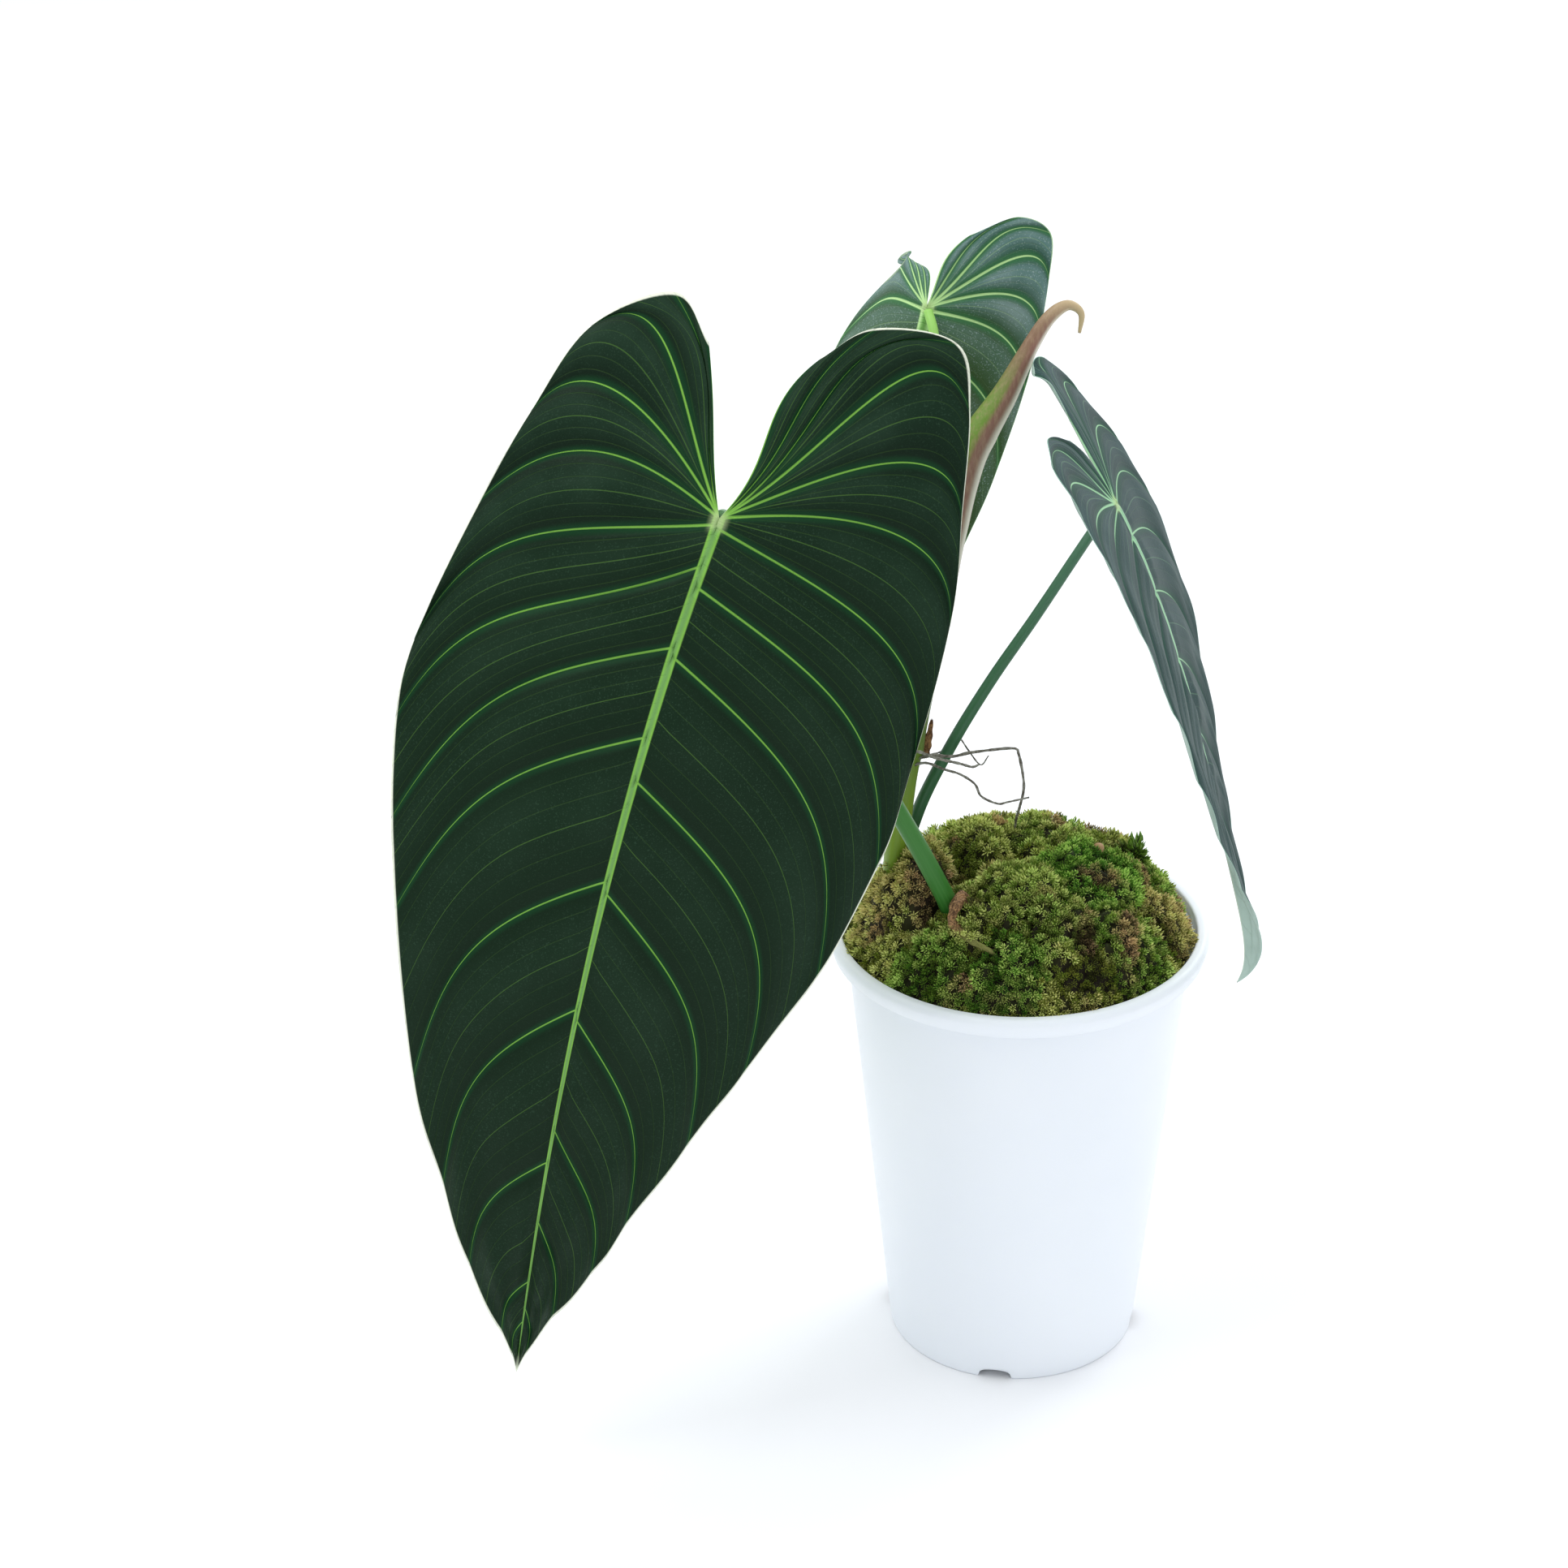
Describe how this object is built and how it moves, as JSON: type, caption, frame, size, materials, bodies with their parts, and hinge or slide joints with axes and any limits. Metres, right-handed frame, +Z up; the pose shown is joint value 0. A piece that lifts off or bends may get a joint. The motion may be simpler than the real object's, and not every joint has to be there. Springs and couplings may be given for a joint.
{
  "type": "potted foliage plant",
  "caption": "Nursery pot with a mound of moss and a climbing plant: large hanging heart-shaped leaves on long stalks and a rolled new leaf. Stands on any level surface.",
  "frame": {"origin": "centre of the pot's foot, on the ground plane", "axes": "+Z up the pot's axis, +X to the right of the picture, -Y towards its camera"},
  "size_m": [0.294, 0.1845, 0.4174],
  "materials": {
    "pot": "white moulded plastic, satin",
    "potting_mix": "damp, crumbly potting mix (fabric stands in for a loose organic material)",
    "moss": "short cushion moss, soft (fabric stands in for moss)",
    "stem": "smooth green stem, grey wiry roots (wood stands in for plant tissue)",
    "stalk": "smooth green leaf stalk with a soft sheen (wood stands in for plant tissue)",
    "old_blade": "velvety dark green with yellow-green veins (leather stands in for leaf tissue)",
    "young_blade": "velvety grey-green with pale veins (leather stands in for leaf tissue)",
    "new_leaf": "smooth rolled leaf, green to brownish pink (leather stands in for leaf tissue)",
    "dry_fibre": "dry, papery brown plant remains",
    "fertiliser": "coated fertiliser bead, matte"
  },
  "bodies": {
    "root": {"pot": "pot", "potting_mix": "potting_mix", "moss": "moss", "stem": "stem", "front_stalk": "stalk", "right_stalk": "stalk", "back_stalk": "stalk", "front_leaf": "old_blade", "right_leaf": "young_blade", "back_leaf": "young_blade", "new_leaf": "new_leaf", "dry_sheath": "dry_fibre", "dry_root": "dry_fibre", "pellet": "fertiliser"}
  },
  "joints": []
}
